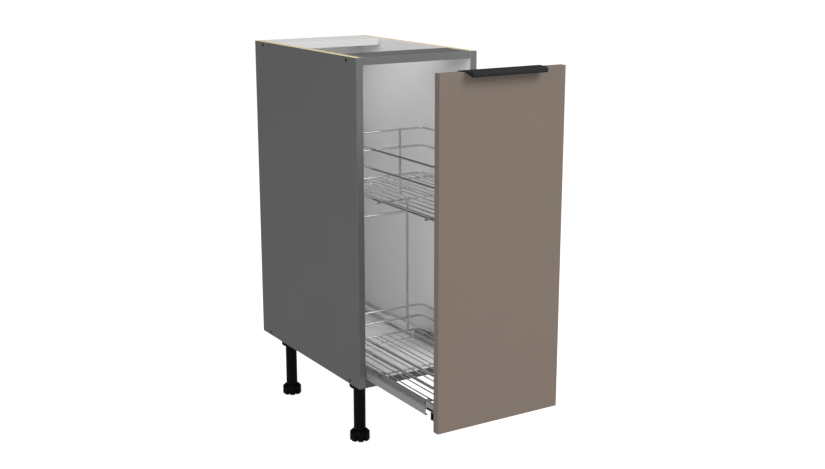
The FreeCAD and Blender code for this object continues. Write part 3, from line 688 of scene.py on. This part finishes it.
def grow(part, ring, step, share):
    """Extrude a ring along Z and scale it about its own axis."""
    fresh, ring = extrude_ring(part, ring)
    bmesh.ops.translate(part, vec=(0, 0, step), verts=fresh)
    bmesh.ops.scale(part, vec=(share, share, 1), verts=fresh)
    return ring


def close_ends(part):
    """Fill every open rim."""
    bmesh.ops.holes_fill(part, edges=[e for e in part.edges if e.is_boundary], sides=0)


def thread(core, height, pitch, length, steps):
    """Helical ridge round the Z axis, from the origin up. It takes two thirds of the pitch."""
    part = bmesh.new()
    turns = length / pitch
    foot = core * THREAD_FOOT_SHARE
    third = pitch / 3
    profile = ((foot, 0, 0), (core + height, 0, third), (foot, 0, 2 * third))
    ridge = [part.verts.new(point) for point in profile]
    outline = [part.edges.new(pair) for pair in zip(ridge, ridge[1:] + ridge[:1])]
    bmesh.ops.spin(part, geom=ridge + outline, cent=(0, 0, 0), axis=(0, 0, 1), angle=2 * math.pi * turns,
                   dvec=(0, 0, pitch / steps), steps=round(steps * turns))
    close_ends(part)
    return part


print("a thread's foot lies at", THREAD_FOOT_SHARE, "of the core's radius")

# %% [markdown]
# ## The shape of a screw
# A screw is a stack of such rings. The head's rim is bridged to a small polygon, which is sunk to make
# the driver's recess: six corners for the confirmat screws that pull the boards together, and a cross
# for the small ones. A countersunk head runs down to the shank as a cone, and other heads have a step.

# %% Shape of a screw
SCREW_SEGMENTS = 24
RECESS_DEPTH_SHARE = 0.55
RECESS_FLOOR_SHARE = 0.9
SCREW_TIP_SHARE = 0.12
SCREW_THREAD_SHARE = 0.13
SCREW_THREAD_STEPS = 14


def screw(head, head_height, shank, length, recess, corners, cone, pitch):
    """Screw along +Z from the face of its head, with a recess and a thread."""
    part = bmesh.new()
    bmesh.ops.create_circle(part, segments=SCREW_SEGMENTS, radius=head / 2)
    rim = part.edges[:]
    hole = bmesh.ops.create_circle(part, segments=len(corners), radius=recess / 2)["verts"]
    for vert, share in zip(hole, corners):
        vert.co *= share
    inner = [e for e in part.edges if e not in rim]
    bmesh.ops.bridge_loops(part, edges=rim + inner)
    floor = grow(part, inner, head_height * RECESS_DEPTH_SHARE, RECESS_FLOOR_SHARE)
    bmesh.ops.holes_fill(part, edges=floor, sides=0)
    ring = grow(part, rim, head_height, shank / head if cone else 1)
    if not cone:
        ring = grow(part, ring, 0, shank / head)
    ring = grow(part, ring, length - head_height - shank, 1)
    ring = grow(part, ring, shank, SCREW_TIP_SHARE)
    bmesh.ops.holes_fill(part, edges=ring, sides=0)
    if pitch:
        ridge = thread(shank / 2, shank * SCREW_THREAD_SHARE, pitch, length - head_height - shank,
                       SCREW_THREAD_STEPS)
        bmesh.ops.translate(ridge, vec=(0, 0, head_height), verts=ridge.verts)
        absorb(part, ridge)
    return part


print("confirmat screws to make:", len(loose_boxes("confirmat_screws")))

# %% [markdown]
# ## Screws and nails
# The place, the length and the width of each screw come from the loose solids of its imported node, and
# the kind gives the rest as shares of the head's width. Heads are sunk by a quarter of a millimetre. The
# nails of the back panel are made as screws too, with a flat head and no thread.

# %% Screws and nails
SINK = 0.25 * MM
HEX = (1,) * 6
CROSS = (1, 0.42) * 4
FLAT = (1,) * 12
CONFIRMAT = dict(shank_share=0.52, recess_share=0.5, corners=HEX, height_share=0.44, cone=False,
                 pitch=3 * MM)
CROSS_HEAD = dict(recess_share=0.62, corners=CROSS, pitch=1.6 * MM)
PAN_HEAD = dict(shank_share=0.55, height_share=0.42, cone=False, **CROSS_HEAD)
COUNTERSUNK = dict(shank_share=0.52, height_share=0.23, cone=True, **CROSS_HEAD)
NAIL = dict(shank_share=0.4, recess_share=0.3, corners=FLAT, height_share=0.25, cone=False, pitch=0)
INWARD = Vector((1, 0, 0))
UPWARD = Vector((0, 0, 1))
DOWNWARD = Vector((0, 0, -1))
FORWARD = Vector((0, -1, 0))


def place_along(part, start, direction):
    """Turn a part from +Z to a direction and move it to a point."""
    turn = UPWARD.rotation_difference(direction).to_matrix()
    bmesh.ops.rotate(part, cent=(0, 0, 0), matrix=turn, verts=part.verts)
    bmesh.ops.translate(part, vec=start, verts=part.verts)


def screw_set(node, name, finish, way, shank_share, recess_share, corners, height_share, cone, pitch):
    """All screws of a node, driven in a way that is mirrored on the right of the cabinet."""
    bm = bmesh.new()
    for low, high in loose_boxes(node):
        middle = (low + high) / 2
        heading = Vector((-way.x if middle.x > 0 else way.x, way.y, way.z))
        axis = max(range(3), key=lambda i: abs(heading[i]))
        across = (axis + 1) % 3
        length = high[axis] - low[axis]
        head = high[across] - low[across]
        part = screw(head, head * height_share, head * shank_share, length - SINK, head * recess_share,
                     corners, cone, pitch)
        place_along(part, middle - heading * (length / 2 - SINK), heading)
        absorb(bm, part)
    finished(bm, name, [finish], node)


screw_set("confirmat_screws", "confirmat_screw_set", "black_screw", INWARD, **CONFIRMAT)
screw_set("leg_screws", "leg_screw_set", "zinc", UPWARD, **PAN_HEAD)
screw_set("runner_screws", "runner_screw_set", "zinc", DOWNWARD, **COUNTERSUNK)
screw_set("handle_screws", "handle_screw_set", "black_screw", FORWARD, **COUNTERSUNK)
screw_set("bracket_screws", "bracket_screw_set", "zinc", FORWARD, **COUNTERSUNK)
screw_set("back_panel_nails", "back_nail_set", "zinc", FORWARD, **NAIL)

# %% [markdown]
# ## Dowels
# The dowels are hidden in the joints. They are turned from beech with a chamfer at each end, which lets
# them find their holes when the boards are pushed together. A spin works as a lathe does: half an outline
# goes once round the axis.

# %% Dowels
X, Y, Z = range(3)
DOWEL_CHAMFER = 1.0 * MM
BAR_STEPS = 16


def turned(profile, start, direction, steps):
    """Profile of (along, radius) points, spun round an axis."""
    part = bmesh.new()
    along = direction.normalized()
    side = along.orthogonal().normalized()
    points = [part.verts.new(start + along * a + side * r) for a, r in profile]
    edges = [part.edges.new(pair) for pair in zip(points, points[1:])]
    bmesh.ops.spin(part, geom=points + edges, cent=start, axis=along, angle=2 * math.pi, steps=steps,
                   use_merge=True)
    bmesh.ops.remove_doubles(part, verts=part.verts, dist=MERGE)
    return part


def rod_profile(length, radius, chamfer):
    """Half outline of a round bar with chamfered ends."""
    return [(0, 0), (0, radius - chamfer), (chamfer, radius), (length - chamfer, radius),
            (length, radius - chamfer), (length, 0)]


def add_bars(bm, node, axis, chamfer, steps=BAR_STEPS):
    """Every loose bar of a node, turned along one axis."""
    heading = Vector([int(i == axis) for i in range(3)])
    across = (axis + 1) % 3
    for low, high in loose_boxes(node):
        length = high[axis] - low[axis]
        start = (low + high) / 2 - heading * length / 2
        profile = rod_profile(length, (high[across] - low[across]) / 2, chamfer)
        absorb(bm, turned(profile, start, heading, steps))


dowels = bmesh.new()
add_bars(dowels, "wood_dowels", X, DOWEL_CHAMFER)
finished(dowels, "dowel_set", ["beech"], "wood_dowels")

# %% [markdown]
# ## Legs
# The legs are black mouldings: a socket that is screwed under the bottom panel, a tube that is pushed
# into it, and a foot with a notched rim that is screwed up or down by hand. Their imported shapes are
# right, so their copies only get the small radii of a moulding, and the stem gets its thread.

# %% Legs
CORNERS = ("front_left", "front_right", "rear_left", "rear_right")
MOULD_RADIUS = 0.6 * MM
STEM_PITCH = 4.0 * MM
STEM_THREAD_HEIGHT = 0.25 * MM
STEM_THREAD_STEPS = 24


def moulded(node, name, finish, radius, shortest=0.0):
    """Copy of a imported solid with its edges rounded, all of them or only those past a length."""
    bm = solid_copy(node)
    round_edges(bm, sharp_edges(bm, shortest), radius)
    finished(bm, name, [finish], node)


def levelling_foot(corner):
    """Foot with its rounded rim, and the thread of its stem."""
    node = "levelling_foot_" + corner
    tube_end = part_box("leg_tube_" + corner)[0].z
    low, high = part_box(node)
    middle = (low + high) / 2
    bm = solid_copy(node)
    core = max((v.co.xy - middle.xy).length for v in bm.verts if v.co.z > tube_end + MERGE)
    round_edges(bm, sharp_edges(bm), MOULD_RADIUS)
    ridge = thread(core, STEM_THREAD_HEIGHT, STEM_PITCH, high.z - tube_end - STEM_PITCH, STEM_THREAD_STEPS)
    bmesh.ops.translate(ridge, vec=(middle.x, middle.y, tube_end), verts=ridge.verts)
    absorb(bm, ridge)
    finished(bm, "foot_" + corner, ["black_plastic"], node)


for corner in CORNERS:
    moulded("leg_socket_" + corner, "socket_" + corner, "black_plastic", MOULD_RADIUS)
    moulded("leg_tube_" + corner, "tube_" + corner, "black_plastic", MOULD_RADIUS)
    levelling_foot(corner)

# %% [markdown]
# ## Pull-out rails
# Each runner has three rails. The outer one, which travels with the baskets, is folded from grey sheet
# steel, open below between two lips. It is made as a press would fold it: a flat strip of faces, whose
# fold lines are bevelled into bends before the sheet gets its thickness.

# %% Pull-out rails
RAIL_SHEET = 1.5 * MM
RAIL_LIP = 6.0 * MM
RAIL_FOLD = 2.2 * MM
FOLD_SEGMENTS = 8


def folded_sheet(outline, run, fold_radii, sheet):
    """Strip through outline points, extruded along a run, with rounded folds and a thickness inwards."""
    bm = bmesh.new()
    points = [bm.verts.new(p) for p in outline]
    strip = [bm.edges.new(pair) for pair in zip(points, points[1:])]
    grown = bmesh.ops.extrude_edge_only(bm, edges=strip)["geom"]
    bmesh.ops.translate(bm, vec=run, verts=only(bmesh.types.BMVert, grown))
    bmesh.ops.recalc_face_normals(bm, faces=bm.faces)
    top = max(bm.faces, key=lambda f: f.calc_center_median().z)
    if top.normal.z < 0:
        bmesh.ops.reverse_faces(bm, faces=bm.faces)
    for point, radius in zip(outline[1:-1], fold_radii):
        folds = [e for e in bm.edges if len(e.link_faces) == 2
                 and any((v.co - point).length < MERGE for v in e.verts)]
        round_edges(bm, folds, radius, FOLD_SEGMENTS)
    bmesh.ops.solidify(bm, geom=bm.faces[:], thickness=sheet)
    return bm


def pull_out_rail(side):
    """Folded rail with four bends."""
    node = side + "_pull_out_rail"
    low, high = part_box(node)
    corners = [(low.x + RAIL_LIP, low.z), (low.x, low.z), (low.x, high.z),
               (high.x, high.z), (high.x, low.z), (high.x - RAIL_LIP, low.z)]
    outline = [Vector((x, low.y, z)) for x, z in corners]
    folds = [RAIL_FOLD] * len(outline[1:-1])
    bm = folded_sheet(outline, Vector((0, high.y - low.y, 0)), folds, RAIL_SHEET)
    finished(bm, side + "_outer_rail", ["rail_grey"], node)


for side in SIDES:
    pull_out_rail(side)

# %% [markdown]
# ## Inner rails and brackets
# The middle rail and the cabinet rail run inside the outer one. Bent brackets behind the door join it to
# the rails and to the basket frame. All of these hardly show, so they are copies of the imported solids
# with slightly broken edges, as pressed steel has.

# %% Inner rails and brackets
SHEET_SOFTENING = 0.25 * MM

for side in SIDES:
    moulded(side + "_middle_rail", side + "_inner_rail", "white_coat", SHEET_SOFTENING)
    moulded(side + "_cabinet_rail", side + "_fixed_rail", "white_coat", SHEET_SOFTENING, LONG_EDGE)
    moulded(side + "_lower_bracket", side + "_rail_bracket", "rail_grey", SHEET_SOFTENING)
    moulded(side + "_upper_bracket", side + "_frame_bracket", "rail_grey", SHEET_SOFTENING)

# %% [markdown]
# ## Ball cages
# Between the rails run thin plastic cages with steel balls. The longest loose solid of a packed cage is
# its sheet, which is kept. The others are its balls, and each is made again about the middle of its two
# poles, as an icosphere, because even triangles give a clean shine.

# %% Ball cages
BALL_SUBDIVISIONS = 2


def add_ball(bm, centre, radius, finish_index=0):
    """Small ball of even triangles."""
    part = bmesh.new()
    bmesh.ops.create_icosphere(part, subdivisions=BALL_SUBDIVISIONS, radius=radius)
    bmesh.ops.translate(part, vec=centre, verts=part.verts)
    for face in part.faces:
        face.material_index = finish_index
    absorb(bm, part)


def ends_along(island, axis):
    """Places of the lowest and the highest vertex along an axis."""
    places = sorted((v.co.copy() for v in island), key=lambda place: place[axis])
    return places[0], places[-1]


def length_of(island):
    """Length of a loose solid from front to rear."""
    front, rear = ends_along(island, Y)
    return rear.y - front.y


def ball_cage(side, place):
    """Plastic sheet of a packed cage, with new steel balls in its holes."""
    node = side + "_" + place + "_ball_cage"
    bm = solid_copy(node)
    solids = islands(bm)
    sheet = max(solids, key=length_of)
    packed_balls = [solid for solid in solids if solid is not sheet]
    poles = [ends_along(ball, Z) for ball in packed_balls]
    bmesh.ops.delete(bm, geom=[v for ball in packed_balls for v in ball], context="VERTS")
    for south, north in poles:
        add_ball(bm, (south + north) / 2, (north - south).length / 2, finish_index=1)
    finished(bm, side + "_" + place + "_cage", ["cage_plastic", "chrome"], node)


for side in SIDES:
    for place in ("inner", "outer"):
        ball_cage(side, place)

# %% [markdown]
# ## Door
# The door is a lacquered board, and lacquer flows round an edge instead of breaking there. Its edges are
# rounded by about a millimetre, so that they catch a thin line of light.

# %% Door
DOOR_ROUNDING = 0.9 * MM

door = bmesh.new()
add_block(door, *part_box("door_panel"), DOOR_ROUNDING)
finished(door, "door_board", ["door_lacquer"], "door_panel")

# %% [markdown]
# ## Handle
# The handle is folded from black coated sheet: a flange behind the door, a flat top, and a lip that bends
# down at the front and rolls under. Its ends run in towards the front, so the folded strip is narrowed
# there before its edges are rounded.

# %% Handle
HANDLE_SHEET = 1.8 * MM
HANDLE_LIP = 10.8 * MM
HANDLE_BACK_BEND = 2.1 * MM
HANDLE_BEND = 6.0 * MM
HANDLE_ROLL = 4.0 * MM
HANDLE_RETURN = 4.8 * MM
HANDLE_TAPER = 9.6 * MM

handle_low, handle_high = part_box("edge_handle")
lip_end = handle_high.z - HANDLE_LIP


def tapered(point):
    """A point of the straight strip, moved in as far as the handle has narrowed there."""
    half = (handle_high.x - handle_low.x) / 2
    forward_share = (handle_high.y - point.y) / (handle_high.y - handle_low.y)
    return Vector((point.x * (1 - HANDLE_TAPER * forward_share / half), point.y, point.z))


def handle_sheet():
    """Folded strip with narrowed ends and soft edges."""
    low, high = handle_low, handle_high
    corners = [(high.y, low.z), (high.y, high.z), (low.y, high.z), (low.y, lip_end),
               (low.y + HANDLE_RETURN, lip_end)]
    outline = [Vector((low.x, y, z)) for y, z in corners]
    folds = [HANDLE_BACK_BEND, HANDLE_BEND, HANDLE_ROLL]
    bm = folded_sheet(outline, Vector((high.x - low.x, 0, 0)), folds, HANDLE_SHEET)
    for vert in bm.verts:
        vert.co = tapered(vert.co)
    round_edges(bm, sharp_edges(bm), SHEET_SOFTENING)
    return bm


handle = handle_sheet()
print("sheet of the handle", len(handle.faces), "faces")

# %% [markdown]
# A web closes each end of the lip. It is flat, so an outline is filled and extruded. The outline follows
# the middle of the bent sheet, so that the web shows no edge of its own outside, and a straight line
# leads from the rolled lip back to the door.

# %% Webs of the handle
WEB_INSET = 0.2 * MM
WEB_BEND_POINTS = 5


def web_outline():
    """Points (y, z) from the door, along the middle of the bent sheet, to the rolled lip."""
    radius = HANDLE_BEND - HANDLE_SHEET / 2
    points = [(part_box("door_panel")[0].y, handle_high.z - HANDLE_SHEET / 2)]
    for i in range(WEB_BEND_POINTS):
        angle = math.pi / 2 * i / (WEB_BEND_POINTS - 1)
        points.append((handle_low.y + HANDLE_BEND - radius * math.sin(angle),
                       handle_high.z - HANDLE_BEND + radius * math.cos(angle)))
    points.append((handle_low.y + HANDLE_ROLL, lip_end + HANDLE_SHEET / 2))
    return points


def add_web(bm, outline, run):
    """Flat web: an outline that is filled and then extruded."""
    part = bmesh.new()
    points = [part.verts.new(p) for p in outline]
    face = bmesh.ops.contextual_create(part, geom=points)["faces"]
    grown = bmesh.ops.extrude_face_region(part, geom=face)["geom"]
    bmesh.ops.translate(part, vec=run, verts=only(bmesh.types.BMVert, grown))
    absorb(bm, part)


for end, inside in ((handle_low.x, 1), (handle_high.x, -1)):
    web = [tapered(Vector((end + inside * WEB_INSET, y, z))) for y, z in web_outline()]
    add_web(handle, web, Vector((inside * HANDLE_SHEET, 0, 0)))
finished(handle, "edge_pull", ["black_coat"], "edge_handle")

# %% [markdown]
# ## Bent wire
# The baskets are bent and welded from chromed wire. A curve with a round bevel would do for that as well.
# Here the wire is made as a bending machine makes it, which gives true arcs and few faces: a ring of
# points is extruded along each straight run and spun round each corner.

# %% Bent wire
WIRE_SIDES = 14
BEND_STEPS = 8


def add_wire(bm, corners, radius, bend, closed=False):
    """Round wire through corners: a ring, extruded along the runs and spun round the bends."""
    part = bmesh.new()
    if closed:
        middle = (corners[-1] + corners[0]) / 2
        corners = [middle, *corners, middle]
    heading = (corners[1] - corners[0]).normalized()
    turn = UPWARD.rotation_difference(heading).to_matrix().to_4x4()
    bmesh.ops.create_circle(part, segments=WIRE_SIDES, radius=radius,
                            matrix=Matrix.Translation(corners[0]) @ turn)
    ring = part.edges[:]
    here = corners[0]
    for target, after in zip(corners[1:-1], corners[2:]):
        heading = (target - here).normalized()
        leaving = (after - target).normalized()
        angle = heading.angle(leaving)
        setback = bend * math.tan(angle / 2)
        stop = target - heading * setback
        fresh, ring = extrude_ring(part, ring)
        bmesh.ops.translate(part, vec=stop - here, verts=fresh)
        axis = heading.cross(leaving).normalized()
        centre = stop + axis.cross(heading) * bend
        spun = bmesh.ops.spin(part, geom=fresh + ring, cent=centre, axis=axis, angle=angle,
                              steps=BEND_STEPS)
        ring = only(bmesh.types.BMEdge, spun["geom_last"])
        here = target + leaving * setback
    fresh = extrude_ring(part, ring)[0]
    bmesh.ops.translate(part, vec=corners[-1] - here, verts=fresh)
    bmesh.ops.remove_doubles(part, verts=part.verts, dist=MERGE)
    if not closed:
        close_ends(part)
    absorb(bm, part)


print("wire of", WIRE_SIDES, "sides, with", BEND_STEPS, "steps in a bend")

# %% [markdown]
# ## Rims of the baskets
# Each basket has a top rim, a middle rim and a floor frame. All of them are closed loops with four equal
# corners, and their packed boxes give the size, the height and the thickness of the wire.

# %% Rims
BASKET_CORNER = 12.0 * MM


def rim(node, name):
    """Closed loop of wire round a basket."""
    low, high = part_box(node)
    radius = (high.z - low.z) / 2
    inset = Vector((radius, radius, radius))
    first, last = low + inset, high - inset
    plan = ((first.x, first.y), (last.x, first.y), (last.x, last.y), (first.x, last.y))
    corners = [Vector((x, y, (low.z + high.z) / 2)) for x, y in plan]
    bm = bmesh.new()
    add_wire(bm, corners, radius, BASKET_CORNER, closed=True)
    finished(bm, name, ["chrome"], node)


for level in ("lower", "upper"):
    rim(level + "_top_rim", level + "_upper_loop")
    rim(level + "_middle_rim", level + "_middle_loop")
    rim(level + "_floor_frame", level + "_floor_loop")

# %% [markdown]
# ## Floors of the baskets
# The thin floor wires lie on three cross wires. At every crossing the weld leaves a small bead, which is
# a ball of few faces between the two wires. Straight wires are turned like the dowels, with fewer steps
# the thinner they are.

# %% Basket floors
WIRE_CHAMFER = 0.4 * MM
WELD_BEAD = 1.7 * MM
FLOOR_WIRE_STEPS = 12
CROSS_WIRE_STEPS = 14


def basket_floor(level):
    """Floor wires with their weld beads, and the cross wires under them."""
    floor_node = level + "_floor_wires"
    cross_node = level + "_cross_wires"
    bm = bmesh.new()
    add_bars(bm, floor_node, Y, WIRE_CHAMFER, FLOOR_WIRE_STEPS)
    crossing = loose_boxes(cross_node)
    for low, high in loose_boxes(floor_node):
        for cross_low, cross_high in crossing:
            meeting = Vector(((low.x + high.x) / 2, (cross_low.y + cross_high.y) / 2, low.z))
            add_ball(bm, meeting, WELD_BEAD)
    finished(bm, level + "_floor_grid", ["chrome"], floor_node)
    bm = bmesh.new()
    add_bars(bm, cross_node, X, WIRE_CHAMFER, CROSS_WIRE_STEPS)
    finished(bm, level + "_cross_bars", ["chrome"], cross_node)


for level in ("lower", "upper"):
    basket_floor(level)

# %% [markdown]
# ## Rods between the baskets
# Two rods behind the baskets and two before them carry the upper basket. Under it each rod jogs inwards,
# as the photograph shows, at 45 degrees. The helper that bent the rims bends the rods too, and a larger
# bead marks each weld to a rim.

# %% Rods
ROD_BEND = 9.0 * MM
ROD_JOG_DROP = 44.0 * MM
ROD_BEAD = 2.3 * MM


def upright_rod(end, side):
    """Rod behind or before the rims, set inwards by a jog under the upper basket."""
    node = end + "_" + side + "_rod"
    low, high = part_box(node)
    radius = (high.y - low.y) / 2
    middle = (low.y + high.y) / 2
    outer, inner = low.x + radius, high.x - radius
    if side == "right":
        outer, inner = inner, outer
    frame_low, frame_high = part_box("upper_floor_frame")
    jog_top = (frame_low.z + frame_high.z) / 2 - ROD_JOG_DROP
    jog_low = jog_top - abs(outer - inner)
    path = ((outer, low.z), (outer, jog_low), (inner, jog_top), (inner, high.z))
    bm = bmesh.new()
    add_wire(bm, [Vector((x, middle, z)) for x, z in path], radius, ROD_BEND)
    for level, across in (("lower", outer), ("upper", inner)):
        for loop in ("_top_rim", "_middle_rim", "_floor_frame"):
            rim_low, rim_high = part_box(level + loop)
            touch = rim_low.y if end == "front" else rim_high.y
            add_ball(bm, Vector((across, touch, (rim_low.z + rim_high.z) / 2)), ROD_BEAD)
    finished(bm, end + "_" + side + "_upright", ["chrome"], node)


for end in ("front", "rear"):
    for side in SIDES:
        upright_rod(end, side)

# %% [markdown]
# ## Crossbars and clips
# A crossbar joins the rods at each end and keeps them upright. Grey plastic clips hold the lower basket
# on the rails. The bars are turned like the other straight wires, and the clips are softened copies.

# %% Crossbars and clips
crossbars = bmesh.new()
add_bars(crossbars, "frame_crossbars", X, WIRE_CHAMFER)
finished(crossbars, "crossbar_pair", ["chrome"], "frame_crossbars")
moulded("rail_clips", "rail_clip_set", "clip_plastic", SHEET_SOFTENING)

# %% [markdown]
# ## End
# The last cell only prints a closing line.

# %% End
print("end of the scene")
